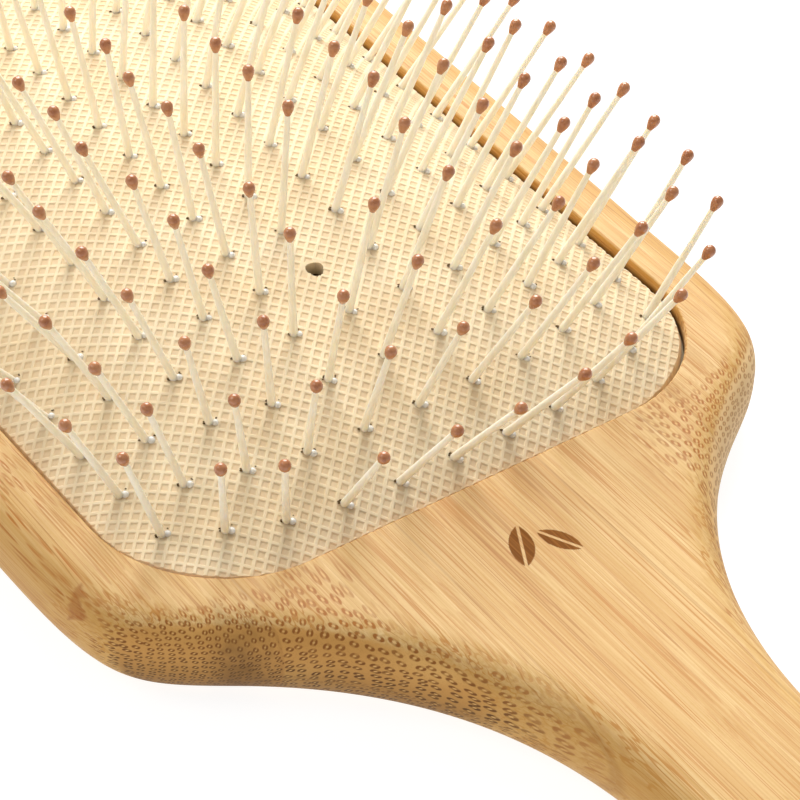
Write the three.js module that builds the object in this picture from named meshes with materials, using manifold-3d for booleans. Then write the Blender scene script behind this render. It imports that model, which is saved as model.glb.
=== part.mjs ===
// Paddle hair brush: bamboo body, domed rubber cushion, and nylon pins in sprung half-columns.
// Millimetres. X across the brush, Y from the handle to the head, Z up out of the pins.
// The origin is under the middle of the brush, on the flat back.
import * as THREE from "three";
import { mergeGeometries, mergeVertices } from "three/addons/utils/BufferGeometryUtils.js";
import Module from "manifold-3d";

const wasm = await Module();
wasm.setup();

// ---- Driving dimensions ----

const LENGTH = 241.5; // tip of the handle to the far end of the head
const HEAD_WIDTH = 84;
const BOARD = 10; // thickness of the bamboo board
const EDGE_ROUND = 4.7; // rounding of the board's outer edges

const NECK_WIDTH = 19;
const HANDLE_WIDTH = 26.4;
const NECK_Y = -37.75;
const GRIP_Y = -89.75;
const SHOULDER = new THREE.Vector2(30.3, -2.8); // where the shoulder turns from round to hollow

const PAD_Y = 56.75; // middle of the cushion
const OPENING = { halfX: 34.6, halfY: 55.1, corner: 15 };
const POCKET_FLOOR = 3.2;
const GROOVE = { low: 5, high: 7.8, depth: 2.4 }; // undercut that holds the cushion's bead
const GAP = 0.3;

const RUBBER = 1.6; // wall of the cushion
const DOME_EDGE = BOARD - 1.04;
const DOME_RISE = 10.5;
const DOME_POWER = { x: 2.84, y: 2.62 };
const BEAD = { inner: -1.9, outer: GROOVE.depth - GAP };

const COLUMNS = 5; // on each side of the middle column
const IN_COLUMN = [18, 18, 18, 17, 16, 15]; // pins in a column, from the middle column out
const COLUMN_PITCH = 6.75;
const PIN = { reach: 15.8, rootR: 0.44, neckR: 0.31, ballR: 0.64, sides: 5 };
const PIN_HOLE = 1.5;
const VENT = { column: 0, row: 4, r: 0.95 }; // this place in the grid has a hole and no pin
const STRIP = { width: 1.8, height: 1.2, clear: 0.5, end: 1.1 };

const FOOT_DEPTH = RUBBER + STRIP.clear + STRIP.height / 2; // from a pin's root down to its foot
const FAR_END = LENGTH / 2;
const HANDLE_END = -LENGTH / 2;
const PAD_HALF = { x: OPENING.halfX - GAP, y: OPENING.halfY - GAP };

// ---- Materials ----

const bamboo = new THREE.MeshStandardMaterial({ color: 0xdcae6c, roughness: 0.5, metalness: 0 });
const rubber = new THREE.MeshStandardMaterial({ color: 0xe6cfa3, roughness: 0.75, metalness: 0 });
const nylon = new THREE.MeshStandardMaterial({ color: 0xe9dcbc, roughness: 0.35, metalness: 0 });

// ---- Solids ----

function solid(geometry) {
  const bare = geometry.index ? geometry.toNonIndexed() : geometry.clone();
  bare.deleteAttribute("normal");
  bare.deleteAttribute("uv");
  const merged = mergeVertices(bare, 1e-4);
  return new wasm.Manifold(
    new wasm.Mesh({
      numProp: 3,
      vertProperties: merged.attributes.position.array,
      triVerts: new Uint32Array(merged.index.array),
    }),
  );
}

function geometryOf(manifold) {
  const { vertProperties, triVerts } = manifold.getMesh();
  const geometry = new THREE.BufferGeometry();
  geometry.setAttribute("position", new THREE.BufferAttribute(new Float32Array(vertProperties), 3));
  geometry.setIndex(new THREE.BufferAttribute(new Uint32Array(triVerts), 1));
  return geometry.toNonIndexed();
}

function named(name, geometry, material) {
  geometry.computeVertexNormals();
  const mesh = new THREE.Mesh(geometry, material.clone());
  mesh.name = name;
  return mesh;
}

// ---- Bamboo body ----

// The right half of the outline, as cubic curves from the far end of the head to the handle's tip.
// Each row is one curve: its two control points, then its end.
function outline() {
  const w = HEAD_WIDTH / 2;
  const neck = NECK_WIDTH / 2;
  const grip = HANDLE_WIDTH / 2;
  const right = [
    [[9, FAR_END], [18, FAR_END - 0.6], [26, FAR_END - 1.8]],
    [[36, FAR_END - 3.2], [w, FAR_END - 9.5], [w, FAR_END - 20]],
    [[w, PAD_Y + 16], [w, PAD_Y - 8], [w - 0.6, PAD_Y - 30.5]],
    [[w - 0.6, SHOULDER.y + 7.5], [SHOULDER.x + 9.9, SHOULDER.y + 6.6], SHOULDER.toArray()],
    [[SHOULDER.x - 10.7, SHOULDER.y - 7.2], [neck + 1.1, NECK_Y + 16.9], [neck, NECK_Y]],
    [[neck - 0.8, NECK_Y - 16], [grip, GRIP_Y + 16], [grip, GRIP_Y]],
    [[grip, HANDLE_END + 12], [8, HANDLE_END], [0, HANDLE_END]],
  ];
  const shape = new THREE.Shape().moveTo(0, FAR_END);
  for (const [a, b, end] of right) shape.bezierCurveTo(...a, ...b, ...end);
  const starts = [[0, FAR_END], ...right.map((curve) => curve[2])];
  for (let i = right.length - 1; i >= 0; i--) {
    const [[ax, ay], [bx, by]] = right[i];
    const [x, y] = starts[i];
    shape.bezierCurveTo(-bx, by, -ax, ay, -x, y);
  }
  return shape;
}

function roundedOpening(grow) {
  const x = OPENING.halfX + grow;
  const y = OPENING.halfY + grow;
  const r = OPENING.corner + grow;
  const shape = new THREE.Shape().moveTo(x, 0);
  shape.lineTo(x, y - r).absarc(x - r, y - r, r, 0, Math.PI / 2, false);
  shape.lineTo(r - x, y).absarc(r - x, y - r, r, Math.PI / 2, Math.PI, false);
  shape.lineTo(-x, r - y).absarc(r - x, r - y, r, Math.PI, 1.5 * Math.PI, false);
  shape.lineTo(x - r, -y).absarc(x - r, r - y, r, 1.5 * Math.PI, 2 * Math.PI, false);
  shape.lineTo(x, 0);
  return shape;
}

function slab(shape, low, high, curveSegments) {
  const geometry = new THREE.ExtrudeGeometry(shape, {
    depth: high - low,
    bevelEnabled: false,
    curveSegments,
  });
  return solid(geometry.translate(0, 0, low));
}

function bambooBody() {
  const board = new THREE.ExtrudeGeometry(outline(), {
    depth: BOARD - 2 * EDGE_ROUND,
    bevelThickness: EDGE_ROUND,
    bevelSize: EDGE_ROUND,
    bevelOffset: -EDGE_ROUND,
    bevelSegments: 3,
    curveSegments: 6,
  });
  board.translate(0, 0, EDGE_ROUND);
  const pocket = slab(roundedOpening(0), POCKET_FLOOR, BOARD + 1, 4).translate([0, PAD_Y, 0]);
  const groove = slab(roundedOpening(GROOVE.depth), GROOVE.low, GROOVE.high, 4);
  return geometryOf(solid(board).subtract(pocket).subtract(groove.translate([0, PAD_Y, 0])));
}

// ---- Cushion ----

// Height of the rubber's top face. The point is measured from the cushion's middle.
function domeTop(x, y) {
  const acrossX = 1 - Math.min(1, Math.abs(x) / PAD_HALF.x) ** DOME_POWER.x;
  const alongY = 1 - Math.min(1, Math.abs(y) / PAD_HALF.y) ** DOME_POWER.y;
  return DOME_EDGE + DOME_RISE * acrossX * alongY;
}

// Grid lines of the rubber's faces, from the middle out. They run between the pins.
function gridLines(outwards) {
  return [...outwards.toReversed().map((v) => -v), ...outwards];
}

function domedSkin() {
  const columns = Array.from({ length: COLUMNS + 1 }, (_, i) => rootOf(i, 0).x);
  const between = columns.slice(1).map((x, i) => (x + columns[i]) / 2);
  const xs = gridLines([...between, columns.at(-1) + 1.8, PAD_HALF.x]);
  const ys = gridLines([12, 24, 36, 42, 48, PAD_HALF.y]);
  const nx = xs.length - 1;
  const ny = ys.length - 1;
  const box = new THREE.BoxGeometry(nx, ny, 1, nx, ny, 1);
  const corners = box.attributes.position;
  for (let i = 0; i < corners.count; i++) {
    const x = xs[Math.round(corners.getX(i) + nx / 2)];
    const y = ys[Math.round(corners.getY(i) + ny / 2)];
    corners.setXYZ(i, x, y, domeTop(x, y) - (corners.getZ(i) > 0 ? 0 : RUBBER));
  }
  const inside = slab(roundedOpening(-GAP), 0, DOME_EDGE + DOME_RISE + 1, 4);
  return solid(box).intersect(inside);
}

// The edge of the rubber: a wall down into the pocket, and a bead in the groove.
function bead() {
  const low = GROOVE.low + GAP;
  const wall = slab(roundedOpening(-GAP), low, DOME_EDGE - RUBBER / 2, 4);
  const rim = slab(roundedOpening(BEAD.outer), low, GROOVE.high - GAP, 4);
  const middle = slab(roundedOpening(BEAD.inner), 0, BOARD, 4);
  return wall.add(rim).subtract(middle);
}

function cushion(places) {
  const holes = places.map((place) => {
    const hole = new THREE.BoxGeometry(PIN_HOLE, 7, PIN_HOLE).applyQuaternion(turnTo(place.lean));
    return solid(hole.translate(...place.root.toArray()));
  });
  const ventPlace = placeAt(VENT.column, alongOf(VENT.column, VENT.row));
  const vent = new THREE.CylinderGeometry(VENT.r, VENT.r, 7, 8).rotateX(Math.PI / 2);
  holes.push(solid(vent.translate(...ventPlace.root.toArray())));
  const rubberBody = domedSkin().add(bead()).translate([0, PAD_Y, 0]);
  return geometryOf(rubberBody.subtract(wasm.Manifold.union(holes)));
}

// ---- Pins ----

// A column of pins runs along the brush, from -1 at its first pin to 1 at its last.
function alongOf(column, row) {
  return (2 * row) / (IN_COLUMN[Math.abs(column)] - 1) - 1;
}

// Half the length of a column. The outer columns are shorter, to suit the round corners.
function columnReach(column) {
  return 51.5 - 6.6 * Math.abs(column / COLUMNS) ** 3;
}

// The columns close up a little towards the sides, and towards both ends.
function rootOf(column, along) {
  const spread = COLUMN_PITCH * column - 0.0235 * column ** 3;
  const x = spread * (1 - 0.036 * along ** 6);
  const y = columnReach(column) * along;
  return new THREE.Vector3(x, PAD_Y + y, domeTop(x, y));
}

// The domed rubber fans the pins out, sideways in the middle and lengthways at both ends.
function leanOf(column, along) {
  const out = Math.abs(column / COLUMNS);
  const sideways = (0.23 * column) / (1 + 0.325 * out);
  const lengthways = 0.68 * (1 - 0.73 * out ** 2);
  const lean = new THREE.Vector3(sideways * (1 - 0.585 * along ** 2), lengthways * along ** 3, 1);
  return lean.normalize();
}

function placeAt(column, along) {
  return { along, root: rootOf(column, along), lean: leanOf(column, along) };
}

function turnTo(direction) {
  return new THREE.Quaternion().setFromUnitVectors(new THREE.Vector3(0, 1, 0), direction);
}

function pinPlaces(column, rows) {
  return rows
    .filter((row) => column !== VENT.column || row !== VENT.row)
    .map((row) => placeAt(column, alongOf(column, row)));
}

function footOf({ root, lean }) {
  return root.clone().addScaledVector(lean, -FOOT_DEPTH / lean.z);
}

// The strip under the rubber that carries the pins' heads. It follows the pins' feet.
function strip(column, places) {
  const extra = STRIP.end / columnReach(column);
  const first = places[0].along - extra;
  const last = places.at(-1).along + extra;
  const ribbon = new THREE.BoxGeometry(STRIP.width, 1, STRIP.height, 1, 6, 1);
  const corners = ribbon.attributes.position;
  for (let i = 0; i < corners.count; i++) {
    const along = THREE.MathUtils.lerp(first, last, corners.getY(i) + 0.5);
    const foot = footOf(placeAt(column, along));
    corners.setXYZ(i, foot.x + corners.getX(i), foot.y, foot.z + corners.getZ(i));
  }
  return ribbon;
}

function pin(place) {
  const ball = FOOT_DEPTH / place.lean.z + PIN.reach;
  const profile = [
    [0, 0],
    [PIN.rootR, 0],
    [PIN.neckR, ball - 0.75],
    [PIN.ballR, ball + 0.05],
    [0, ball + 0.65],
  ].map(([r, y]) => new THREE.Vector2(r, y));
  const shaft = new THREE.LatheGeometry(profile, PIN.sides);
  shaft.applyQuaternion(turnTo(place.lean));
  return shaft.translate(...footOf(place).toArray());
}

function pinStrip(column, places) {
  const pins = mergeGeometries(places.map((place) => pin(place).toNonIndexed()));
  return geometryOf(solid(strip(column, places)).add(solid(pins)));
}

// ---- Assembly ----

const brush = new THREE.Group();
brush.name = "paddle_brush";
brush.add(named("bamboo_body", bambooBody(), bamboo));

const pins = new THREE.Group();
pins.name = "pins";
const allPlaces = [];
for (let column = -COLUMNS; column <= COLUMNS; column++) {
  const side = column < 0 ? "left" : column > 0 ? "right" : "middle";
  const label = column === 0 ? side : `${side}_${Math.abs(column)}`;
  const rows = [...Array(IN_COLUMN[Math.abs(column)]).keys()];
  const half = Math.ceil(rows.length / 2);
  for (const [zone, part] of [["front", rows.slice(0, half)], ["rear", rows.slice(half)]]) {
    const places = pinPlaces(column, part);
    allPlaces.push(...places);
    pins.add(named(`pins_${label}_${zone}`, pinStrip(column, places), nylon));
  }
}
brush.add(named("cushion_pad", cushion(allPlaces), rubber), pins);

export default brush;
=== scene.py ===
"""Looks of the paddle brush: bamboo body, waffled rubber cushion and ball-tipped nylon pins.

Meshes are made in millimetres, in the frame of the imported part, and turned into metres at the end.
"""

import math
import random

import bmesh
import bpy
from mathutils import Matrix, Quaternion, Vector
from mathutils.geometry import delaunay_2d_cdt


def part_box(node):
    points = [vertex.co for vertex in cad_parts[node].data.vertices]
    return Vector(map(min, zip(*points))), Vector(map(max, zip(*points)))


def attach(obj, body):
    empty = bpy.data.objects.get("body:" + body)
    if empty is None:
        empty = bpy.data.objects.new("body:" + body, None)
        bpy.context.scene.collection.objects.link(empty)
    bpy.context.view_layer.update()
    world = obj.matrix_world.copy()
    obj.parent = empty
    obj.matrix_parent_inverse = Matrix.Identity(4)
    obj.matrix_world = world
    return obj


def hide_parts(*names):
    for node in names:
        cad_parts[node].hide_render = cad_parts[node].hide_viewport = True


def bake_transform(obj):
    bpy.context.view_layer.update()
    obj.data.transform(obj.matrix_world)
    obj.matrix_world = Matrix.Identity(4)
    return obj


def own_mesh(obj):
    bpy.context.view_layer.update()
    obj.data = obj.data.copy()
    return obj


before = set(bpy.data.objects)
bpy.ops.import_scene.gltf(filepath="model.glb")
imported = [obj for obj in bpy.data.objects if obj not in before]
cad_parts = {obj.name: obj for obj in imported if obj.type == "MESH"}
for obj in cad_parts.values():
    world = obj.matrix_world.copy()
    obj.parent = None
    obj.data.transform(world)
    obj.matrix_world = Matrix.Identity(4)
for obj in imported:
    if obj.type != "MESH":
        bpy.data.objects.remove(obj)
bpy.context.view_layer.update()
MM = 0.001
rng = random.Random(11)

# ---- Dimensions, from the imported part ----

body_low, body_high = (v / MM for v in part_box("bamboo_body"))
FAR_END = body_high.y
HANDLE_END = body_low.y
BOARD = body_high.z
HALF_HEAD = body_high.x
EDGE_ROUND = 4.7
EDGE_POWER = 2.7
NECK = Vector((9.5, -37.75))
GRIP = Vector((13.2, -89.75))
SHOULDER = Vector((30.3, -2.8))

PAD_Y = 56.75
OPENING = {"x": 34.6, "y": 55.1, "corner": 15.0}
POCKET_FLOOR = 3.2
GROOVE = {"low": 5.0, "high": 7.8, "depth": 2.4}
GAP = 0.3
CORNER_REACH = 82.0  # |x| + |y| from the opening's middle, just past its round corners

RUBBER = 1.6
DOME_EDGE = BOARD - 1.04
DOME_RISE = 10.5
DOME_POWER = (2.84, 2.62)
PAD_HALF = (OPENING["x"] - GAP, OPENING["y"] - GAP)
FOOT_DEPTH = RUBBER + 0.5 + 0.6

COLUMNS = 5
IN_COLUMN = (18, 18, 18, 17, 16, 15)  # pins in a column, from the middle column out
COLUMN = {"pitch": 6.75, "closing": 0.0235, "draw_in": 0.036, "reach": 51.5, "outer_loss": 6.6}
LEAN = {"side": 0.23, "side_ease": 0.325, "side_loss": 0.585, "end": 0.68, "end_loss": 0.73}
LEAN_STRAY = 0.024
VENT = (0, 4)
VENT_R = 0.95
PIN_REACH = 15.8
BALL_R = 0.62
STRIP_HALF = (0.9, 0.6)  # half width and half height of the strip that carries the pins

WAFFLE = {"pitch": 1.05, "ridge": 0.25, "bevel": 0.13, "depth": 0.11}
ROLL = {"width": 0.38, "drop": 1.0}  # how the rubber turns down at its edge
PIT = {"radius": 0.85, "floor": 0.5, "depth": 0.05}  # the smooth dent round each pin
PIT_CELL = 4  # side of the squares that sort the pins, over twice a pit's reach
INNER_STEP = 3.3  # spacing of the points on the rubber's inner face

CANE_STRIP = {"width": 17.2, "offset": 10.0}  # the glued strips of the board
DIP = {"start": -12.0, "end": 3.6, "depth": 5.2}  # along Y, where the cane dips at the shoulders
SMEAR_AT = (-29.6, -0.6, 4.6)
KNOT_AT = {"y": 7.8, "z": 7.5}


# ---- Mesh helpers ----


def add_piece(name, verts, faces, materials, smooth=True):
    """A mesh object from millimetre coordinates. A face is its corners, then its material's index."""
    mesh = bpy.data.meshes.new(name)
    mesh.from_pydata([Vector(v) * MM for v in verts], [], [f[0] for f in faces])
    mesh.polygons.foreach_set("material_index", [f[1] for f in faces])
    mesh.polygons.foreach_set("use_smooth", [smooth] * len(faces))
    for material in materials:
        mesh.materials.append(material)
    mesh.update()
    obj = bpy.data.objects.new(name, mesh)
    bpy.context.scene.collection.objects.link(obj)
    return obj


def smoothstep(low, high, value):
    t = min(1.0, max(0.0, (value - low) / (high - low)))
    return t * t * (3 - 2 * t)


class Shell:
    """Vertices and quads that grow ring by ring."""

    def __init__(self):
        self.verts = []
        self.faces = []

    def ring(self, points):
        start = len(self.verts)
        self.verts.extend(points)
        return list(range(start, len(self.verts)))

    def bridge(self, below, above, material=0):
        n = len(below)
        for i in range(n):
            j = (i + 1) % n
            self.faces.append(((below[i], below[j], above[j], above[i]), material))

    def close(self, rings, material=0):
        """Faces over the first ring and, in the given material, over the last."""
        self.faces.append((tuple(reversed(rings[0])), 0))
        self.faces.append((tuple(rings[-1]), material))

    def cap(self, loops, inner, height, up=True):
        """Fills the plane between closed loops, outermost first, through the given inner points."""
        ids = [i for loop in loops for i in loop]
        flat = [Vector(self.verts[i][:2]) for i in ids] + [Vector(p) for p in inner]
        edges = []
        start = 0
        for loop in loops:
            n = len(loop)
            edges += [(start + i, start + (i + 1) % n) for i in range(n)]
            start += n
        points, _, triangles, origins, _, _ = delaunay_2d_cdt(flat, edges, [], 1, 1e-6)
        index = []
        for point, origin in zip(points, origins):
            if origin and origin[0] < len(ids):
                index.append(ids[origin[0]])
            else:
                self.verts.append((point.x, point.y, height(point.x, point.y)))
                index.append(len(self.verts) - 1)
        holes = [[Vector(self.verts[i][:2]) for i in loop] for loop in loops[1:]]
        for triangle in triangles:
            middle = sum((points[k] for k in triangle), Vector((0, 0))) / 3
            if any(contains(hole, middle) for hole in holes):
                continue
            corners = [index[k] for k in triangle]
            self.faces.append((tuple(corners if up else corners[::-1]), 0))


def contains(loop, point):
    inside = False
    for a, b in zip(loop, loop[1:] + loop[:1]):
        if (a.y > point.y) != (b.y > point.y):
            if point.x < (b.x - a.x) * (point.y - a.y) / (b.y - a.y) + a.x:
                inside = not inside
    return inside


def lathe(shell, profile, foot, axis, sides, split=None):
    """A turned closed form along an axis. Rings from the index split on take the second material."""
    turn = Vector((0, 0, 1)).rotation_difference(axis)
    rings = []
    for r, s in profile:
        circle = [
            foot + turn @ Vector((r * math.cos(a), r * math.sin(a), s))
            for a in (2 * math.pi * k / sides for k in range(sides))
        ]
        rings.append(shell.ring(circle))
    for i in range(len(rings) - 1):
        shell.bridge(rings[i], rings[i + 1], 1 if split is not None and i >= split else 0)
    shell.close(rings, 0 if split is None else 1)


# ---- Shader helpers ----


def rgb(red, green, blue):
    """A colour given as it looks on a screen, in 0 to 255, as the renderer's linear one."""
    linear = [
        c / 12.92 if c <= 0.04045 else ((c + 0.055) / 1.055) ** 2.4
        for c in (red / 255, green / 255, blue / 255)
    ]
    return (*linear, 1.0)


class Shader:
    """Short names for the nodes of one material. Inputs are sockets or plain values."""

    def __init__(self, name):
        self.material = bpy.data.materials.new(name)
        self.material.use_nodes = True
        self.tree = self.material.node_tree
        self.tree.nodes.clear()
        self.position = self.vector(
            "MULTIPLY", self.node("ShaderNodeTexCoord").outputs["Object"], (1000, 1000, 1000)
        )

    def node(self, kind, inputs=None, **settings):
        made = self.tree.nodes.new(kind)
        for key, value in settings.items():
            setattr(made, key, value)
        for key, value in (inputs or {}).items():
            self.feed(made.inputs[key], value)
        return made

    def feed(self, socket, value):
        if isinstance(value, bpy.types.NodeSocket):
            self.tree.links.new(value, socket)
        else:
            socket.default_value = value

    def math(self, operation, *values, clamp=False):
        made = self.node("ShaderNodeMath", operation=operation, use_clamp=clamp)
        for socket, value in zip(made.inputs, values):
            self.feed(socket, value)
        return made.outputs[0]

    def vector(self, operation, *values):
        made = self.node("ShaderNodeVectorMath", operation=operation)
        for socket, value in zip(made.inputs, values):
            self.feed(socket, value)
        return made.outputs[0]

    def split(self, vector):
        return self.node("ShaderNodeSeparateXYZ", {"Vector": vector}).outputs

    def join(self, x, y, z):
        return self.node("ShaderNodeCombineXYZ", {"X": x, "Y": y, "Z": z}).outputs[0]

    def ramp(self, value, low, high, to_low=0.0, to_high=1.0):
        """Smoothly from to_low to to_high as value goes from low to high."""
        made = self.node(
            "ShaderNodeMapRange",
            {"Value": value, "From Min": low, "From Max": high, "To Min": to_low, "To Max": to_high},
            interpolation_type="SMOOTHSTEP",
        )
        return made.outputs["Result"]

    def noise(self, vector, scale, detail=2.0, roughness=0.5):
        made = self.node(
            "ShaderNodeTexNoise",
            {"Scale": 1.0, "Detail": detail, "Roughness": roughness},
        )
        self.feed(made.inputs["Vector"], self.vector("MULTIPLY", vector, scale))
        return made.outputs

    def mix(self, factor, a, b):
        made = self.node("ShaderNodeMix", data_type="RGBA")
        self.feed(made.inputs[0], factor)
        self.feed(made.inputs[6], a)
        self.feed(made.inputs[7], b)
        return made.outputs[2]

    def bump(self, height, distance, strength):
        values = {"Height": height, "Distance": distance, "Strength": strength}
        return self.node("ShaderNodeBump", values).outputs[0]

    def finish(self, **inputs):
        surface = self.node("ShaderNodeBsdfPrincipled")
        for key, value in inputs.items():
            self.feed(surface.inputs[key.replace("_", " ")], value)
        output = self.node("ShaderNodeOutputMaterial")
        self.tree.links.new(surface.outputs[0], output.inputs["Surface"])
        return self.material


# ---- Materials ----


def leaf_mark(s, x, y, grit):
    """A plain burnt sprig of two leaves on the neck, as a mask."""
    mask = None
    for cx, cy, turn, half, wide in ((-1.7, -7.9, 62, 2.9, 1.25), (1.9, -9.2, 118, 2.5, 1.1)):
        c, n = math.cos(math.radians(turn)), math.sin(math.radians(turn))
        dx, dy = s.math("SUBTRACT", x, cx), s.math("SUBTRACT", y, cy)
        along = s.math("ADD", s.math("MULTIPLY", dx, c), s.math("MULTIPLY", dy, n))
        across = s.math("SUBTRACT", s.math("MULTIPLY", dy, c), s.math("MULTIPLY", dx, n))
        across = s.math("ABSOLUTE", across)
        # A leaf is where two circles overlap, with a pale rib down its middle.
        radius = (half * half + wide * wide) / (2 * wide)
        off = s.math("ADD", across, radius - wide)
        squares = s.math("ADD", s.math("MULTIPLY", along, along), s.math("MULTIPLY", off, off))
        reach = s.math("SQRT", squares)
        reach = s.math("ADD", reach, s.math("MULTIPLY", s.math("SUBTRACT", grit, 0.5), 0.2))
        inside = s.ramp(reach, radius - 0.05, radius + 0.05, 1.0, 0.0)
        leaf = s.math("MULTIPLY", inside, s.ramp(across, 0.1, 0.2))
        mask = leaf if mask is None else s.math("MAXIMUM", mask, leaf)
    return mask


def bamboo_material():
    """Strips glued side by side, with fibre bundles along Y.

    The bundles show as streaks on the faces and as dots where the cane is cut across.
    """
    s = Shader("bamboo")
    x, y, z = s.split(s.position)

    # Five strips, each with its own piece of cane.
    across = s.math("DIVIDE", s.math("ADD", x, CANE_STRIP["offset"]), CANE_STRIP["width"])
    strip = s.math("FLOOR", across)
    from_seam = s.math("PINGPONG", across, 0.5)
    seam = s.ramp(from_seam, 0.004, 0.013, 1.0, 0.0)
    shifted = s.vector(
        "ADD", s.position, s.vector("MULTIPLY", s.join(strip, strip, strip), (31.7, 143.0, 17.9))
    )
    tone = s.node("ShaderNodeTexWhiteNoise", {"W": strip}, noise_dimensions="1D").outputs["Value"]

    # The bundles drift a little along the cane, so that they come up to a face and leave it again.
    drift = s.vector(
        "MULTIPLY",
        s.vector("SUBTRACT", s.noise(shifted, (0.07, 0.022, 0.07), 2.0)["Color"], (0.5, 0.5, 0.5)),
        (1.6, 0.0, 9.0),
    )
    wobble = s.vector(
        "MULTIPLY",
        s.vector("SUBTRACT", s.noise(shifted, (0.5, 0.12, 0.5), 1.0)["Color"], (0.5, 0.5, 0.5)),
        (0.24, 0.0, 0.3),
    )
    # At the shoulders the cane dips, so that its bundles come out on the top face too.
    at_shoulder = s.ramp(s.math("ABSOLUTE", x), 12.0, 23.0)
    dip = s.ramp(y, DIP["start"], DIP["end"], 0.0, DIP["depth"])
    dip = s.math("MULTIPLY", dip, at_shoulder)
    length = DIP["end"] - DIP["start"]
    steepest = 6 * DIP["depth"] / length
    u = s.math("DIVIDE", s.math("SUBTRACT", y, DIP["start"]), length, clamp=True)
    tilt = s.math("MULTIPLY", s.math("MULTIPLY", u, s.math("SUBTRACT", 1.0, u)), steepest)
    tilt = s.math("MULTIPLY", tilt, at_shoulder)
    strayed = s.vector("ADD", drift, s.vector("ADD", wobble, s.join(0.0, 0.0, dip)))
    cane = s.vector("ADD", shifted, strayed)

    def bundles(pitch, flat):
        """Two dark crescents and the pale middle of the nearest bundle."""
        cx, _, cz = s.split(cane)
        plane = s.join(s.math("DIVIDE", cx, pitch), s.math("DIVIDE", cz, pitch * flat), 0.0)
        cell = s.node(
            "ShaderNodeTexVoronoi",
            {"Vector": plane, "Scale": 1.0, "Randomness": 0.42},
            voronoi_dimensions="2D",
        )
        distance = cell.outputs["Distance"]
        ax, ay, _ = s.split(s.vector("SUBTRACT", plane, cell.outputs["Position"]))
        slant = s.math("ADD", s.math("MULTIPLY", ax, 0.8), s.math("MULTIPLY", ay, -0.6))
        side = s.math("DIVIDE", s.math("ABSOLUTE", slant), s.math("ADD", distance, 0.02))
        ring = s.math(
            "MULTIPLY",
            s.ramp(distance, 0.08, 0.17),
            s.ramp(distance, 0.3, 0.4, 1.0, 0.0),
        )
        crescents = s.math("MULTIPLY", ring, s.ramp(side, 0.2, 0.7, 0.4, 1.0))
        core = s.ramp(distance, 0.04, 0.14, 1.0, 0.0)
        kind = s.split(cell.outputs["Color"])[0]
        return crescents, core, kind

    def hairline(scale, stretch, width):
        """Thin lines along the cane, where a stretched noise crosses its middle value."""
        level = s.noise(shifted, (scale, stretch, scale), 1.0, 0.4)["Fac"]
        off = s.math("ABSOLUTE", s.math("SUBTRACT", level, 0.5))
        return s.ramp(off, width * 0.3, width, 1.0, 0.0)

    wide, wide_core, wide_kind = bundles(0.94, 0.84)
    fine, fine_core, _ = bundles(0.74, 0.8)
    level = s.math("ADD", z, s.math("MULTIPLY", s.noise(shifted, (0.12, 0.02, 0.12))["Fac"], 3.0))
    outer = s.math("COMPARE", strip, -2.0, 0.5)
    deep = s.math("MAXIMUM", s.ramp(level, 4.6, 6.4, 1.0, 0.0), outer)
    crescents = s.mix(deep, wide, fine)
    core = s.mix(deep, wide_core, fine_core)

    # A dark smear by the seam, a knot on the left shoulder, and painted shade on the wall round the
    # cushion.
    ragged = s.math("SUBTRACT", s.noise(s.position, (0.7, 0.3, 0.7), 3.0)["Fac"], 0.5)
    smear_off = s.vector("SUBTRACT", s.position, SMEAR_AT)
    smear_off = s.vector("MULTIPLY", smear_off, (1.0, 0.7, 0.6))
    smear_off = s.node("ShaderNodeVectorMath", {0: smear_off}, operation="LENGTH").outputs["Value"]
    smear = s.ramp(s.math("ADD", smear_off, s.math("MULTIPLY", ragged, 3.0)), 0.6, 4.4, 1.0, 0.0)
    knot_along = s.math("SUBTRACT", y, KNOT_AT["y"])
    knot_up = s.math("SUBTRACT", z, KNOT_AT["z"])
    knot_width = s.math("MULTIPLY", knot_along, 0.5)
    knot_off = s.math("SUBTRACT", s.math("ABSOLUTE", knot_up), knot_width)
    knot_off = s.math("MAXIMUM", knot_off, s.math("SUBTRACT", knot_along, 3.0))
    knot = s.ramp(s.math("ADD", knot_off, s.math("MULTIPLY", ragged, 2.6)), -0.25, 0.3, 1.0, 0.0)
    knot = s.math("MULTIPLY", knot, s.ramp(x, -36.0, -35.0, 1.0, 0.0))
    off_x, off_y = s.math("ABSOLUTE", x), s.math("ABSOLUTE", s.math("SUBTRACT", y, PAD_Y))
    in_opening = s.math("LESS_THAN", off_x, OPENING["x"] + 0.3)
    in_opening = s.math("MULTIPLY", in_opening, s.math("LESS_THAN", off_y, OPENING["y"] + 0.3))
    across_corner = s.math("ADD", off_x, off_y)
    in_opening = s.math("MULTIPLY", in_opening, s.math("LESS_THAN", across_corner, CORNER_REACH))
    # Painted shade: the opening's wall goes dark below the rim, where the cushion meets it.
    gap = s.math("MULTIPLY", in_opening, s.ramp(z, BOARD - 1.8, BOARD - 0.8, 1.0, 0.0))

    # How squarely the surface cuts the cane.
    normal = s.split(s.node("ShaderNodeTexCoord").outputs["Normal"])
    cut = s.math("ABSOLUTE", normal[1])
    facing = s.math("ABSOLUTE", s.math("SUBTRACT", normal[1], s.math("MULTIPLY", tilt, normal[2])))

    fibres = s.noise(shifted, (4.2, 0.03, 4.2), 3.0, 0.6)["Fac"]
    bands = s.noise(shifted, (0.36, 0.005, 0.36), 2.0)["Fac"]
    blotch = s.noise(shifted, (0.09, 0.03, 0.12), 2.0)["Fac"]
    patches = s.noise(shifted, (0.3, 0.035, 0.3), 2.0)["Fac"]
    grit = s.noise(shifted, (8.0, 1.6, 8.0), 2.0)["Fac"]

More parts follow.
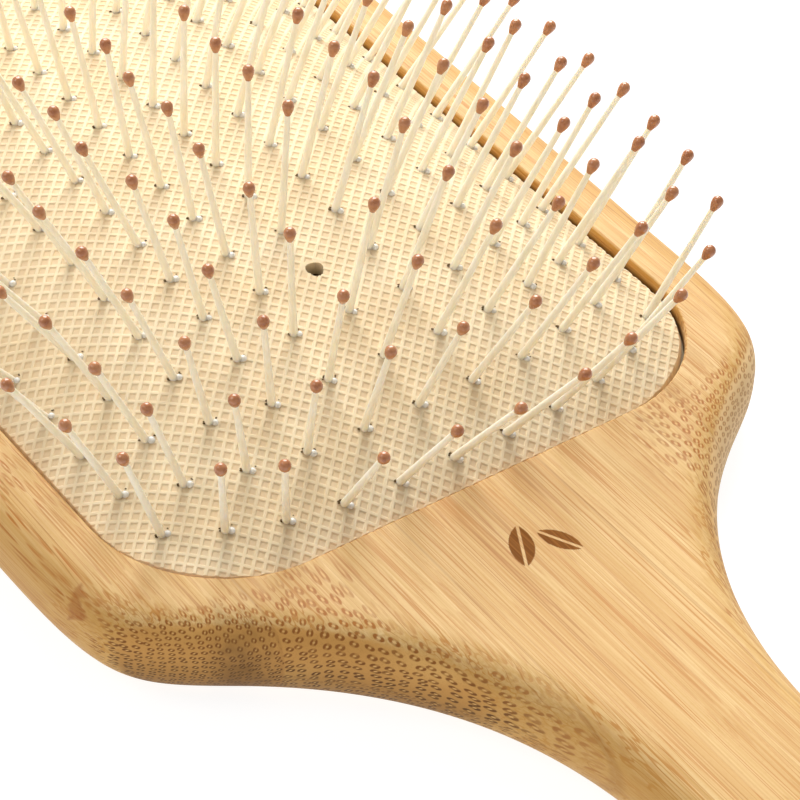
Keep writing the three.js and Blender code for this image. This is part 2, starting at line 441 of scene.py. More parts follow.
    pale, golden = rgb(219, 184, 127), rgb(204, 162, 97)
    wood = s.mix(s.ramp(fibres, 0.3, 0.7), golden, pale)
    wood = s.mix(s.ramp(bands, 0.45, 0.7, 0.0, 0.4), wood, rgb(192, 144, 76))
    wood = s.mix(s.math("MULTIPLY", tone, 0.2), wood, rgb(196, 148, 78))
    wood = s.mix(s.ramp(grit, 0.55, 0.75, 0.0, 0.25), wood, rgb(188, 136, 68))
    thick = s.math("MULTIPLY", hairline(0.8, 0.009, 0.016), s.ramp(patches, 0.42, 0.6, 0.05, 0.55))
    thin = s.math("MULTIPLY", hairline(2.1, 0.017, 0.045), s.ramp(patches, 0.38, 0.6, 0.8, 0.2))
    light = s.math("MULTIPLY", hairline(1.6, 0.012, 0.03), s.ramp(bands, 0.35, 0.6, 0.5, 0.0))
    wood = s.mix(light, wood, rgb(232, 202, 148))
    wood = s.mix(thin, wood, rgb(184, 124, 54))
    wood = s.mix(thick, wood, rgb(164, 102, 40))

    # The cane is deeper in colour down the sides of the board.
    upright = s.ramp(s.math("ABSOLUTE", normal[2]), 0.25, 0.95, 1.0, 0.0)
    wood = s.mix(s.math("MULTIPLY", upright, 0.5), wood, rgb(202, 148, 66))

    # Along the cane the bundles show as streaks; where it is cut across they show as dots.
    streak = s.math("MULTIPLY", crescents, s.ramp(fibres, 0.38, 0.62, 0.45, 1.0))
    streak = s.math("MULTIPLY", streak, s.ramp(patches, 0.35, 0.6, 0.4, 1.0))
    lengthways = s.ramp(cut, 0.03, 0.2, 0.36, 0.6)
    left_rail = s.ramp(x, -38.0, -33.0, 0.6, 0.0)
    lengthways = s.math("ADD", lengthways, left_rail, clamp=True)
    streaked = s.mix(s.math("MULTIPLY", streak, lengthways), wood, rgb(178, 110, 42))

    # Painted light: the end grain and its dots turn paler towards the right, where the light falls.
    lit_end = s.ramp(x, 8.0, 26.0)
    cut_base = s.mix(s.ramp(blotch, 0.35, 0.65), rgb(222, 172, 100), rgb(204, 150, 80))
    cut_base = s.mix(s.ramp(z, 0.5, 7.5, 0.9, 0.0), cut_base, rgb(122, 86, 40))
    cut_base = s.mix(s.ramp(grit, 0.5, 0.75, 0.0, 0.3), cut_base, rgb(170, 118, 58))
    cut_base = s.mix(s.math("MULTIPLY", lit_end, 0.65), cut_base, rgb(236, 206, 156))
    cut_base = s.mix(s.ramp(cut, 0.38, 0.52), wood, cut_base)
    ink = s.mix(s.ramp(z, 4.0, 9.2), rgb(86, 54, 20), rgb(144, 88, 34))
    ink = s.mix(s.math("MULTIPLY", lit_end, 0.6), ink, rgb(196, 142, 84))
    ink = s.mix(s.ramp(cut, 0.2, 0.5), rgb(170, 106, 44), ink)
    shade = s.math("MULTIPLY", crescents, s.ramp(wide_kind, 0.1, 0.6, 0.8, 0.97))
    sparse = s.math("MAXIMUM", s.ramp(facing, 0.2, 0.45), s.ramp(wide_kind, 0.4, 0.55, 0.15, 0.8))
    shade = s.math("MULTIPLY", shade, sparse)
    dots = s.mix(shade, cut_base, ink)
    dots = s.mix(s.math("MULTIPLY", core, s.ramp(facing, 0.2, 0.5, 0.1, 0.6)), dots, rgb(226, 184, 118))
    wood = s.mix(s.ramp(facing, 0.12, 0.3), streaked, dots)
    wood = s.mix(s.math("MULTIPLY", seam, 0.25), wood, rgb(150, 98, 46))
    wood = s.mix(s.math("MULTIPLY", smear, 0.7), wood, rgb(106, 72, 32))
    knot = s.math("MULTIPLY", knot, s.ramp(fibres, 0.35, 0.65, 0.45, 0.75))
    wood = s.mix(knot, wood, rgb(164, 94, 36))
    # Painted shade on the opening's wall below the rim.
    wood = s.mix(s.math("MULTIPLY", gap, 0.85), wood, rgb(84, 52, 22))
    burnt = s.math("MULTIPLY", leaf_mark(s, x, y, grit), s.ramp(normal[2], 0.8, 0.95))
    char = s.mix(s.ramp(fibres, 0.35, 0.65), rgb(112, 62, 20), rgb(140, 86, 34))
    wood = s.mix(s.math("MULTIPLY", burnt, 0.95), wood, char)

    pores = s.math("SUBTRACT", s.math("MULTIPLY", fibres, 0.4), s.math("MULTIPLY", crescents, 0.5))
    pores = s.math("SUBTRACT", pores, s.math("MULTIPLY", thick, 0.4))
    relief = s.math("SUBTRACT", pores, s.math("MULTIPLY", seam, 0.4))
    rough = s.math("MULTIPLY", s.math("ADD", fibres, s.ramp(cut, 0.1, 0.5)), 0.12)
    return s.finish(
        Base_Color=wood,
        Roughness=s.math("ADD", 0.42, rough),
        Normal=s.bump(relief, 0.00006, 0.6),
        Specular_IOR_Level=s.ramp(burnt, 0.0, 1.0, 0.2, 0.02),
    )


def rubber_material():
    s = Shader("cushion_rubber")
    z = s.split(s.position)[2]
    pit = s.node("ShaderNodeAttribute", attribute_name="pit").outputs["Fac"]
    floor = s.node("ShaderNodeAttribute", attribute_name="recess").outputs["Fac"]
    cloud = s.noise(s.position, (0.11, 0.11, 0.11), 3.0)["Fac"]
    dust = s.noise(s.position, (1.9, 1.9, 1.9), 4.0, 0.7)["Fac"]
    speck = s.noise(s.position, (6.5, 6.5, 6.5), 1.0)["Fac"]
    colour = s.mix(s.ramp(cloud, 0.35, 0.65), rgb(239, 220, 184), rgb(232, 210, 171))
    # Painted shade: the sunk squares of the waffle are darker than its ridges.
    colour = s.mix(s.math("MULTIPLY", floor, 0.36), colour, rgb(208, 172, 124))
    colour = s.mix(s.ramp(dust, 0.6, 0.78, 0.0, 0.25), colour, rgb(204, 170, 124))
    colour = s.mix(s.ramp(speck, 0.76, 0.82, 0.0, 0.5), colour, rgb(140, 110, 74))
    # Painted shade: the rubber goes dark in the dent round each pin and down the vent's wall.
    colour = s.mix(s.math("MULTIPLY", pit, 0.75), colour, rgb(118, 98, 68))
    return s.finish(
        Base_Color=colour,
        Roughness=s.ramp(dust, 0.3, 0.7, 0.62, 0.8),
        Normal=s.bump(dust, 0.00004, 0.5),
        Subsurface_Weight=0.12,
        Subsurface_Radius=(0.9, 0.6, 0.35),
        Subsurface_Scale=0.001,
        Specular_IOR_Level=0.25,
    )


def nylon_material():
    s = Shader("nylon_shaft")
    drawn = s.noise(s.position, (1.2, 1.2, 0.25), 2.0)["Fac"]
    tint = s.noise(s.position, (0.05, 0.05, 0.05), 1.0)["Fac"]
    colour = s.mix(s.ramp(drawn, 0.3, 0.7), rgb(248, 240, 224), rgb(242, 232, 210))
    colour = s.mix(s.ramp(tint, 0.4, 0.6, 0.0, 0.35), colour, rgb(243, 236, 220))
    return s.finish(
        Base_Color=colour,
        Roughness=s.ramp(drawn, 0.3, 0.7, 0.38, 0.46),
        Normal=s.bump(drawn, 0.00001, 0.2),
        Subsurface_Weight=0.6,
        Subsurface_Radius=(1.0, 0.85, 0.6),
        Subsurface_Scale=0.001,
        Specular_IOR_Level=0.35,
    )


def tip_material():
    s = Shader("ball_tip")
    mottle = s.noise(s.position, (2.2, 2.2, 2.2), 3.0)["Fac"]
    each = s.noise(s.position, (0.21, 0.21, 0.21), 0.0)["Fac"]
    colour = s.mix(s.ramp(mottle, 0.3, 0.7), rgb(190, 126, 82), rgb(164, 98, 56))
    colour = s.mix(s.ramp(each, 0.4, 0.6, 0.0, 0.4), colour, rgb(198, 138, 92))
    return s.finish(
        Base_Color=colour,
        Roughness=s.ramp(mottle, 0.3, 0.7, 0.16, 0.28),
        Normal=s.bump(mottle, 0.00006, 0.6),
        Coat_Weight=0.4,
        Coat_Roughness=0.1,
    )


def clear_material():
    """Whitish, half clear nylon of the collar at a pin's foot."""
    s = Shader("nylon_collar")
    haze = s.noise(s.position, (3.1, 3.1, 3.1), 2.0)["Fac"]
    colour = s.mix(s.ramp(haze, 0.3, 0.7), rgb(246, 243, 234), rgb(232, 226, 212))
    return s.finish(
        Base_Color=colour,
        Roughness=s.ramp(haze, 0.3, 0.7, 0.12, 0.24),
        Normal=s.bump(haze, 0.00004, 0.4),
        Subsurface_Weight=0.5,
        Subsurface_Radius=(0.5, 0.5, 0.45),
        Subsurface_Scale=0.001,
        Coat_Weight=0.4,
        Coat_Roughness=0.08,
    )


def hole_shade_material():
    """Painted shade: dark brown marks for the shaded gap of the hole at a pin's foot."""
    s = Shader("foot_hole_shade")
    grit = s.noise(s.position, (7.0, 7.0, 7.0), 2.0)["Fac"]
    return s.finish(
        Base_Color=s.mix(s.ramp(grit, 0.3, 0.7), rgb(112, 92, 62), rgb(70, 54, 32)),
        Roughness=s.ramp(grit, 0.3, 0.7, 0.7, 0.85),
        Normal=s.bump(grit, 0.00004, 0.5),
        Specular_IOR_Level=0.1,
    )


# ---- Bamboo body ----


def bezier(a, b, c, d, t):
    u = 1 - t
    return a * u**3 + b * (3 * u * u * t) + c * (3 * u * t * t) + d * t**3


def board_outline(step):
    """The whole outline, counter-clockwise seen from above, as points and inward normals."""
    w = HALF_HEAD
    f, h = FAR_END, HANDLE_END
    nodes = [
        [(0, f), (9, f), (18, f - 0.6), (26, f - 1.8)],
        [(26, f - 1.8), (36, f - 3.2), (w, f - 9.5), (w, f - 20)],
        [(w, f - 20), (w, PAD_Y + 16), (w, PAD_Y - 8), (w - 0.6, PAD_Y - 30.5)],
        [
            (w - 0.6, PAD_Y - 30.5),
            (w - 0.6, SHOULDER.y + 7.5),
            (SHOULDER.x + 9.9, SHOULDER.y + 6.6),
            tuple(SHOULDER),
        ],
        [
            tuple(SHOULDER),
            (SHOULDER.x - 10.7, SHOULDER.y - 7.2),
            (NECK.x + 1.1, NECK.y + 16.9),
            tuple(NECK),
        ],
        [tuple(NECK), (NECK.x - 0.8, NECK.y - 16), (GRIP.x, GRIP.y + 16), tuple(GRIP)],
        [tuple(GRIP), (GRIP.x, h + 12), (8, h), (0, h)],
    ]
    right = []
    for curve in nodes:
        a, b, c, d = (Vector(p) for p in curve)
        length = sum(
            (bezier(a, b, c, d, (k + 1) / 40) - bezier(a, b, c, d, k / 40)).length
            for k in range(40)
        )
        count = max(6, round(length / step))
        right += [bezier(a, b, c, d, k / count) for k in range(count)]
    left = [Vector((-p.x, p.y)) for p in right[1:]]
    points = [Vector((0, h)), *reversed(right[1:]), right[0], *left]
    inward = []
    for before, after in zip(points[-1:] + points[:-1], points[1:] + points[:1]):
        tangent = (after - before).normalized()
        inward.append(Vector((-tangent.y, tangent.x)))
    return points, inward


def corner_centres(x, y, r):
    """Middles of a rounded rectangle's corners, each with the angle where its arc starts."""
    return [(x - r, y - r, 0), (r - x, y - r, 90), (r - x, r - y, 180), (x - r, r - y, 270)]


def opening_loop(grow, z, corner_steps=14, side_step=3.0):
    """The rounded opening for the cushion, grown outwards, at one height."""
    x, y, r = OPENING["x"] + grow, OPENING["y"] + grow, OPENING["corner"] + grow
    loop = []
    centres = corner_centres(x, y, r)
    for k, (cx, cy, start) in enumerate(centres):
        for i in range(corner_steps + 1):
            a = math.radians(start + 90 * i / corner_steps)
            loop.append(Vector((cx + r * math.cos(a), cy + r * math.sin(a))))
        nx, ny, following = centres[(k + 1) % 4]
        a = math.radians(following)
        end = Vector((nx + r * math.cos(a), ny + r * math.sin(a)))
        side = (OPENING["y"] if k % 2 else OPENING["x"]) - OPENING["corner"]
        count = max(2, round(2 * side / side_step))
        begin = loop[-1].copy()
        loop += [begin.lerp(end, i / count) for i in range(1, count)]
    return [(p.x, p.y + PAD_Y, z) for p in loop]


def bamboo_body():
    points, inward = board_outline(0.8)
    r = EDGE_ROUND
    steps = 12
    arc = [math.radians(90 * k / steps) for k in range(steps + 1)]
    # The top edge is squarer than a quarter circle, so that the flat runs further out.
    square = [(math.cos(a) ** (2 / EDGE_POWER), math.sin(a) ** (2 / EDGE_POWER)) for a in arc[1:-1]]
    profile = [(r + 0.5, 0.0)]
    profile += [(r - r * math.sin(a), r - r * math.cos(a)) for a in arc]
    profile += [(0.0, r + (BOARD - 2 * r) * k / 2) for k in (1, 2)]
    profile += [(r - r * c, BOARD - r + r * n) for c, n in square]
    profile.append((r, BOARD))
    shell = Shell()
    rings = [
        shell.ring([(p.x + n.x * d, p.y + n.y * d, z) for p, n in zip(points, inward)])
        for d, z in profile
    ]
    for below, above in zip(rings, rings[1:]):
        shell.bridge(below, above)
    shell.cap([rings[0]], [], lambda x, y: 0.0, up=False)

    low, high = GROOVE["low"], GROOVE["high"]
    pocket_profile = [
        (0.55, BOARD),
        (0.22, BOARD),
        (0.1, BOARD - 0.04),
        (0.03, BOARD - 0.12),
        (0.0, BOARD - 0.26),
        (0.0, high),
        (GROOVE["depth"], high),
        (GROOVE["depth"], low),
        (0.0, low),
        (0.0, POCKET_FLOOR + 0.6),
        (-0.18, POCKET_FLOOR + 0.18),
        (-0.6, POCKET_FLOOR),
    ]
    pocket = [shell.ring(opening_loop(grow, z)) for grow, z in pocket_profile]
    for above, below in zip(pocket, pocket[1:]):
        shell.bridge(above, below)
    shell.cap([rings[-1], pocket[0]], [], lambda x, y: BOARD)
    shell.cap([pocket[-1]], [], lambda x, y: POCKET_FLOOR)
    body = add_piece("bamboo_board", shell.verts, shell.faces, [bamboo_material()])
    body.data.set_sharp_from_angle(angle=math.radians(40))
    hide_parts("bamboo_body")
    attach(body, "body")


# ---- Cushion ----


def dome_top(x, y):
    """Height of the rubber's top, from a point measured from the cushion's middle."""
    across = 1 - min(1.0, abs(x) / PAD_HALF[0]) ** DOME_POWER[0]
    along = 1 - min(1.0, abs(y) / PAD_HALF[1]) ** DOME_POWER[1]
    return DOME_EDGE + DOME_RISE * across * along


def along_of(column, row):
    """A column of pins runs along the brush, from -1 at its first pin to 1 at its last."""
    return 2 * row / (IN_COLUMN[abs(column)] - 1) - 1


def column_reach(column):
    """Half the length of a column. The outer ones are shorter, to suit the round corners."""
    return COLUMN["reach"] - COLUMN["outer_loss"] * abs(column / COLUMNS) ** 3


def root_at(column, along):
    """Where a pin comes out of the rubber, from the cushion's middle."""
    x = COLUMN["pitch"] * column - COLUMN["closing"] * column**3
    x *= 1 - COLUMN["draw_in"] * along**6
    y = column_reach(column) * along
    return Vector((x, y, dome_top(x, y)))


def lean_at(column, along):
    """The domed rubber fans the pins out, sideways in the middle and lengthways at both ends."""
    out = abs(column / COLUMNS)
    sideways = LEAN["side"] * column / (1 + LEAN["side_ease"] * out)
    sideways *= 1 - LEAN["side_loss"] * along**2
    lengthways = LEAN["end"] * (1 - LEAN["end_loss"] * out**2) * along**3
    return Vector((sideways, lengthways, 1)).normalized()


def foot_at(column, along):
    """A pin's foot, at mid-height of the strip under the rubber, from the cushion's middle."""
    lean = lean_at(column, along)
    return root_at(column, along) - lean * (FOOT_DEPTH / lean.z)


def standing(column):
    """The rows of a column that hold a pin: all but the vent's."""
    return [row for row in range(IN_COLUMN[abs(column)]) if (column, row) != VENT]


def pad_edge_planes():
    """Points round the cushion's corners, with outward normals: the planes that clip its outline."""
    r = OPENING["corner"] - GAP
    planes = []
    for cx, cy, start in corner_centres(*PAD_HALF, r):
        for i in range(11):
            a = math.radians(start + 9 * i)
            out = Vector((math.cos(a), math.sin(a), 0))
            planes.append((Vector((cx, cy, 0)) + out * r, out))
    return planes


def outward(point):
    """Outward normal of the cushion's rounded outline near a point on it."""
    r = OPENING["corner"] - GAP
    x = min(PAD_HALF[0] - r, max(r - PAD_HALF[0], point.x))
    y = min(PAD_HALF[1] - r, max(r - PAD_HALF[1], point.y))
    return Vector((point.x - x, point.y - y, 0)).normalized()


def edge_distance(x, y):
    """How far inside the cushion's rounded outline a point is."""
    r = OPENING["corner"] - GAP
    past_x, past_y = abs(x) - PAD_HALF[0] + r, abs(y) - PAD_HALF[1] + r
    if past_x > 0 and past_y > 0:
        return r - math.hypot(past_x, past_y)
    return min(PAD_HALF[0] - abs(x), PAD_HALF[1] - abs(y))


def cell_of(x, y):
    """The square that holds a point, so that only the pins near it are looked at."""
    return math.floor(x / PIT_CELL), math.floor(y / PIT_CELL)


def roll_off(edge):
    """How far the rubber has turned down into the gap at the wall, so near its edge."""
    return ROLL["drop"] * max(0.0, 1 - edge / ROLL["width"]) ** 1.2


def waffle_grid():
    """The cushion's top as raised ridges round sunk squares, at 45 degrees to the brush, still flat."""
    pitch, ridge, bevel = WAFFLE["pitch"], WAFFLE["ridge"] / 2, WAFFLE["bevel"]
    mesh = bmesh.new()
    recess = mesh.verts.layers.float.new("recess")
    corners = {}

    def vert(i, p, j, q, sunk):
        key = (i, p, j, q, sunk)
        if key not in corners:
            u, v = i * pitch + p, j * pitch + q
            made = mesh.verts.new(((u - v) * math.sqrt(0.5), (u + v) * math.sqrt(0.5), 0))
            made[recess] = 1.0 if sunk else 0.0
            corners[key] = made
        return corners[key]

    reach = math.ceil((PAD_HALF[0] + PAD_HALF[1]) * math.sqrt(0.5) / pitch) + 1
    margin = pitch * 1.5
    for i in range(-reach, reach):
        for j in range(-reach, reach):
            u, v = (i + 0.5) * pitch, (j + 0.5) * pitch
            if abs(u - v) * math.sqrt(0.5) > PAD_HALF[0] + margin:
                continue
            if abs(u + v) * math.sqrt(0.5) > PAD_HALF[1] + margin:
                continue
            square = ((-1, -1), (1, -1), (1, 1), (-1, 1))
            a = [vert(i, s * ridge, j, t * ridge, False) for s, t in square]
            right = [vert(i + 1, -ridge, j, t * ridge, False) for t in (-1, 1)]
            above = [vert(i, s * ridge, j + 1, -ridge, False) for s in (-1, 1)]
            far = vert(i + 1, -ridge, j + 1, -ridge, False)
            mesh.faces.new(a)
            mesh.faces.new((a[1], right[0], right[1], a[2]))
            mesh.faces.new((a[3], a[2], above[1], above[0]))
            inner = ridge + bevel
            low = [
                vert(i, inner, j, inner, True),
                vert(i + 1, -inner, j, inner, True),
                vert(i + 1, -inner, j + 1, -inner, True),
                vert(i, inner, j + 1, -inner, True),
            ]
            rim = [a[2], right[1], far, above[1]]
            for k in range(4):
                m = (k + 1) % 4
                mesh.faces.new((rim[k], rim[m], low[m], low[k]))
            mesh.faces.new(low)
    return mesh, recess


def clip_to_pad(mesh):
    """Cut the grid to the cushion's outline, with a crease where the edge starts to turn down."""
    tiny = 1e-4
    for point, out in pad_edge_planes():
        crease = point - out * ROLL["width"]
        for place, past, cut_off in ((crease, tiny, False), (point, -tiny, True)):
            beyond = [f for f in mesh.faces if any((v.co - place).dot(out) > past for v in f.verts)]
            edges = {e for f in beyond for e in f.edges}
            verts = {v for f in beyond for v in f.verts}
            bmesh.ops.bisect_plane(
                mesh,
                geom=[*beyond, *edges, *verts],
                dist=tiny,
                plane_co=place,
                plane_no=out,
                clear_outer=cut_off,
            )
    strays = [v for v in mesh.verts if not v.link_faces]
    bmesh.ops.delete(mesh, geom=strays, context="VERTS")


def boundary_loops(mesh):
    """Closed loops of the mesh's open edges, longest first."""
    open_edges = {e for e in mesh.edges if e.is_boundary}
    loops = []
    while open_edges:
        edge = open_edges.pop()
        face = edge.link_loops[0]
        first, second = face.vert, face.link_loop_next.vert
        loop = [first, second]
        while loop[-1] is not first:
            following = next(e for e in loop[-1].link_edges if e in open_edges)
            open_edges.remove(following)
            loop.append(following.other_vert(loop[-1]))
        loops.append(loop[:-1])
    return sorted(loops, key=len, reverse=True)


def cushion():
    mesh, recess = waffle_grid()
    clip_to_pad(mesh)
    vent = root_at(VENT[0], along_of(*VENT))
    flat = Vector((vent.x, vent.y, 0))
    near = [f for f in mesh.faces if (f.calc_center_median() - flat).length < VENT_R + 0.3]
    bmesh.ops.delete(mesh, geom=near, context="FACES")
    mesh.verts.index_update()

    roots = [
        root_at(column, along_of(column, row))
        for column in range(-COLUMNS, COLUMNS + 1)
        for row in standing(column)
    ]
    shell = Shell()
    pit_shades = []
    recesses = []
    cells = {}
    for root in roots:
        cells.setdefault(cell_of(root.x, root.y), []).append(root)
    for v in mesh.verts:
        x, y = v.co.x, v.co.y
        edge = edge_distance(x, y)
        depth = v[recess] * WAFFLE["depth"] * smoothstep(0.0, 0.35, edge)
        pit = 0.0
        cx, cy = cell_of(x, y)
        around = [(cx + a, cy + b) for a in (-1, 0, 1) for b in (-1, 0, 1)]
        for root in (r for cell in around for r in cells.get(cell, ())):
            away = math.hypot(x - root.x, y - root.y)
            if away < PIT["radius"]:
                pit = max(pit, smoothstep(PIT["radius"], PIT["floor"], away))
        sunk = depth * (1 - pit) + PIT["depth"] * pit + roll_off(edge)
        shell.verts.append((x, y + PAD_Y, dome_top(x, y) - sunk))
        # Painted shade: the rubber darkens in the dent round each pin's hole.
        pit_shades.append(0.35 * pit)
        recesses.append(v[recess])
    shell.faces = [(tuple(v.index for v in f.verts), 0) for f in mesh.faces]
    outer, vent_edge = ([v.index for v in loop] for loop in boundary_loops(mesh)[:2])
    mesh.free()

    # A smooth lip round the vent, and its wall down through the rubber.
    middle = Vector((vent.x, vent.y + PAD_Y))
    circle = [
        middle + Vector((math.cos(a), math.sin(a))) * VENT_R * (1 + 0.07 * math.sin(3 * a + 0.5))
        for a in (2 * math.pi * k / 20 for k in range(20))
    ]
    lip = shell.ring([(p.x, p.y, dome_top(p.x, p.y - PAD_Y) - 0.06) for p in circle])
    shell.cap([vent_edge, lip], [], lambda x, y: dome_top(x, y - PAD_Y))
    throat = shell.ring([(p.x, p.y, dome_top(p.x, p.y - PAD_Y) - RUBBER) for p in circle])
    shell.bridge(lip, throat)

    # The edge tucks down into the groove as a bead, and the inner face follows the dome.
    if sum(
        shell.verts[a][0] * (shell.verts[b][1] - PAD_Y) - shell.verts[b][0] * (shell.verts[a][1] - PAD_Y)
        for a, b in zip(outer, outer[1:] + outer[:1])
    ) < 0:
        outer.reverse()
    rim = [Vector((shell.verts[i][0], shell.verts[i][1] - PAD_Y)) for i in outer]
    bead_top, bead_foot = GROOVE["high"] - GAP, GROOVE["low"] + GAP
    rings = [outer]
    for out, z in (
        (0.0, bead_top),
        (GROOVE["depth"], bead_top),
        (GROOVE["depth"], bead_foot),
        (-RUBBER, bead_foot),
    ):
        moved = [p.to_3d() + outward(p) * out for p in rim]
        rings.append(shell.ring([(p.x, p.y + PAD_Y, z) for p in moved]))
    moved = [p.to_3d() - outward(p) * RUBBER for p in rim]
    under = [max(GROOVE["low"] + 1, dome_top(p.x, p.y) - RUBBER) for p in moved]
    rings.append(shell.ring([(p.x, p.y + PAD_Y, z) for p, z in zip(moved, under)]))
    for above, below in zip(rings, rings[1:]):
        shell.bridge(below, above)
    inner = [
        (x * INNER_STEP, y * INNER_STEP + PAD_Y)
        for x in range(-9, 10)
        for y in range(-15, 16)
        if (Vector((x * INNER_STEP, y * INNER_STEP)) - vent.xy).length > 2
    ]
    shell.cap([rings[-1], throat], inner, lambda x, y: dome_top(x, y - PAD_Y) - RUBBER, up=False)

    pad = add_piece("cushion_rubber", shell.verts, shell.faces, [rubber_material()], smooth=False)
    pit_shades += [0.0] * (len(pad.data.vertices) - len(pit_shades))
    # Painted shade: the vent's wall down through the rubber is dark.
    for k in throat:
        pit_shades[k] = 1.0
    for name, values in (("pit", pit_shades), ("recess", recesses)):
        attribute = pad.data.attributes.new(name, "FLOAT", "POINT")
        values = values + [0.0] * (len(pad.data.vertices) - len(values))
        attribute.data.foreach_set("value", values)
    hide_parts("cushion_pad")
    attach(pad, "body")
    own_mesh(pad)


# ---- Pins ----


def pin_profile():
    """Radius and distance from the root of a pin: shaft, then a drop-shaped ball tip."""
    end = PIN_REACH
    shaft = [(0.43, -2.6), (0.43, 0.0), (0.42, 1.0), (0.385, 6.0), (0.34, 11.0), (0.31, end - 1.1)]
    tip = [(0.33, end - 1.06), (0.39, end - 0.9), (0.49, end - 0.64), (0.58, end - 0.34)]
    for k in range(7):
        a = math.radians(13 * k)
        tip.append((BALL_R * math.cos(a), end + (BALL_R + 0.02) * math.sin(a)))
    return shaft + tip, len(shaft) - 1


def pins(label, column, rows, materials):
    shell = Shell()
    profile, split = pin_profile()
    alongs = [along_of(column, row) for row in rows]
    roots = [root_at(column, along) for along in alongs]
    for root, along in zip(roots, alongs):
        stray = Vector((rng.gauss(0, LEAN_STRAY), rng.gauss(0, LEAN_STRAY), 0))
        lean = (lean_at(column, along) + stray).normalized()
        foot = Vector((root.x, root.y + PAD_Y, root.z))
        lathe(shell, profile, foot, lean, 14, split)
        collar(shell, foot)
    strip(shell, column, alongs)
    name = f"pins_{label}"
    piece = add_piece(f"{name}_set", shell.verts, shell.faces, materials)
    piece.data.set_sharp_from_angle(angle=math.radians(50))
    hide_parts(name)
    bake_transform(piece)


def collar(shell, foot):
    """The half clear bead that shows beside a pin in its hole, and dark marks round it, painted shade
    for the gap of the hole.
    """

    def drop(angle, away, size, height, sides, material):
        spot = foot + Vector((math.cos(angle), math.sin(angle), 0)) * away
        spot.z = dome_top(spot.x, spot.y - PAD_Y)
        rings = 5
        profile = []
        for k in range(rings):
            a = math.pi * (k + 0.5) / rings
            profile.append((size * math.sin(a), -height * math.cos(a)))
        before = len(shell.faces)
        lathe(shell, profile, spot, Vector((0, 0, 1)), sides)
        shell.faces[before:] = [(face, material) for face, _ in shell.faces[before:]]

    side = rng.uniform(-1.0, -0.5)
    size = rng.uniform(0.33, 0.44)
    drop(side, 0.58, size, size * 0.8, 10, 2)
    # Painted shade: small dark drops beside the pin stand for the shaded gap of its hole.
    for _ in range(rng.randint(1, 3)):
        angle = side + math.pi + rng.uniform(-0.5, 0.5)
        drop(angle, rng.uniform(0.46, 0.6), rng.uniform(0.1, 0.2), 0.035, 7, 3)
    for _ in range(rng.randint(1, 2)):
        angle = side + rng.uniform(0.5, 0.9)
        drop(angle, rng.uniform(0.75, 0.95), rng.uniform(0.07, 0.14), 0.03, 7, 3)


def strip(shell, column, alongs):
    """The strip under the rubber that carries a half-column's pins. It follows their feet."""
    extra = 1.1 / column_reach(column)
    first, last = alongs[0] - extra, alongs[-1] + extra
    rings = []
    steps, sides, squareness = 18, 12, 1.15
    for k in range(steps + 1):
        foot = foot_at(column, first + (last - first) * k / steps)
        section = []
        for i in range(sides):
            a = 2 * math.pi * (i + 0.5) / sides
            across, up = (
                half * math.copysign(min(1, abs(c) * squareness), c)
                for half, c in zip(STRIP_HALF, (math.cos(a), math.sin(a)))
            )
            section.append((foot.x - across, foot.y + PAD_Y, foot.z + up))
        rings.append(shell.ring(section))
    for below, above in zip(rings, rings[1:]):
        shell.bridge(below, above)
    shell.close(rings)


def all_pins():
    materials = [nylon_material(), tip_material(), clear_material(), hole_shade_material()]
    for column in range(-COLUMNS, COLUMNS + 1):
        side = "left" if column < 0 else "right"
        label = f"{side}_{abs(column)}" if column else "middle"
        half = math.ceil(IN_COLUMN[abs(column)] / 2)
        rows = standing(column)
        pins(f"{label}_front", column, [row for row in rows if row < half], materials)
        pins(f"{label}_rear", column, [row for row in rows if row >= half], materials)


# ---- Stage ----


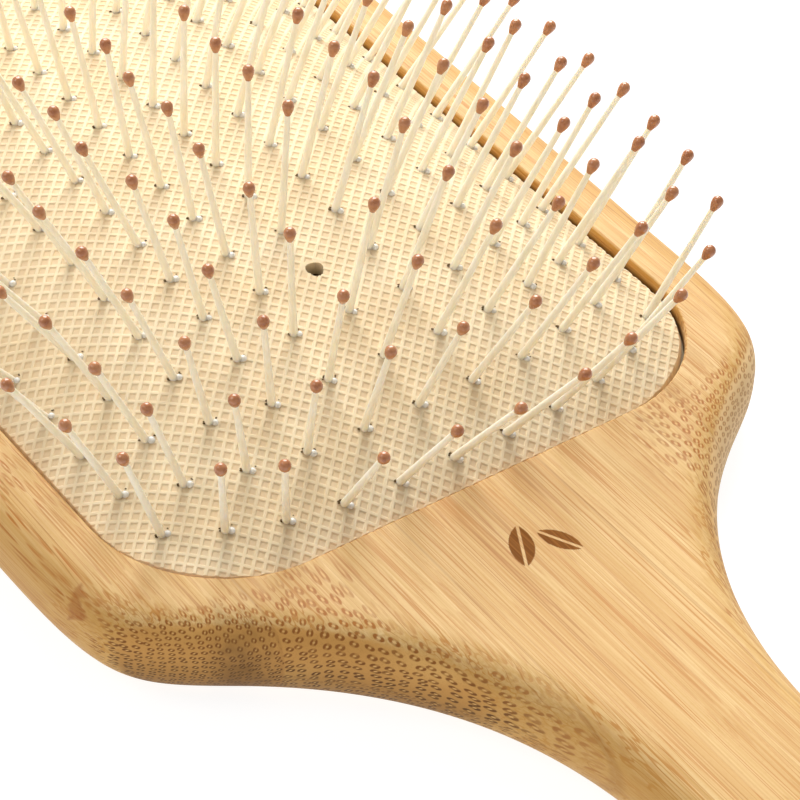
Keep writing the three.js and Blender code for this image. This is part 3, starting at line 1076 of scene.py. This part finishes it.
def stage():
    s = Shader("paper")
    fleck = s.noise(s.position, (0.02, 0.02, 0.02), 2.0)["Fac"]
    paper = s.finish(
        Base_Color=s.mix(s.ramp(fleck, 0.3, 0.7), rgb(140, 140, 140), rgb(138, 138, 137)),
        Roughness=0.9,
        Specular_IOR_Level=0.1,
        Emission_Color=(1, 1, 1, 1),
        Emission_Strength=0.88,
    )
    size = 3000
    z = -0.15
    corners = [(-size, -size, z), (size, -size, z), (size, size, z), (-size, size, z)]
    floor = add_piece("floor", corners, [((0, 1, 2, 3), 0)], [paper])

    world = bpy.data.worlds.new("studio")
    bpy.context.scene.world = world
    world.use_nodes = True
    background = world.node_tree.nodes["Background"]
    background.inputs["Color"].default_value = (1, 1, 1, 1)
    background.inputs["Strength"].default_value = 0.42

    def softbox(name, place, aim, size, power):
        light = bpy.data.lights.new(name, "AREA")
        light.shape = "DISK"
        light.size = size
        light.energy = power
        lamp = bpy.data.objects.new(name, light)
        lamp.location = place
        lamp.rotation_euler = (Vector(aim) - Vector(place)).to_track_quat("-Z", "Y").to_euler()
        bpy.context.scene.collection.objects.link(lamp)

    softbox("key", (0.24, 0.42, 0.44), (0, 0.03, 0), 0.5, 6.3)
    softbox("fill", (-0.5, 0.3, 0.6), (0, 0.03, 0), 0.4, 1.5)


def camera():
    """Looks at a point on the rim's plane, from a distance in metres."""
    azimuth, elevation, roll = (math.radians(angle) for angle in (-38.16, 41.23, 3.42))
    distance = 0.3169
    aim = Vector((0.9, 15.5, BOARD)) * MM
    back = Vector(
        (
            math.sin(azimuth) * math.cos(elevation),
            -math.cos(azimuth) * math.cos(elevation),
            math.sin(elevation),
        )
    )
    data = bpy.data.cameras.new("camera")
    data.lens = 142.63
    data.sensor_width = 36
    data.clip_start = 0.01
    data.clip_end = 10
    made = bpy.data.objects.new("camera", data)
    made.location = aim + back * distance
    level = (-back).to_track_quat("-Z", "Y")
    made.rotation_mode = "QUATERNION"
    made.rotation_quaternion = level @ Quaternion((0, 0, 1), roll)
    bpy.context.scene.collection.objects.link(made)
    bpy.context.scene.camera = made


bpy.context.scene.view_settings.view_transform = "Standard"
camera()
stage()
bamboo_body()
cushion()
all_pins()

bpy.context.view_layer.update()
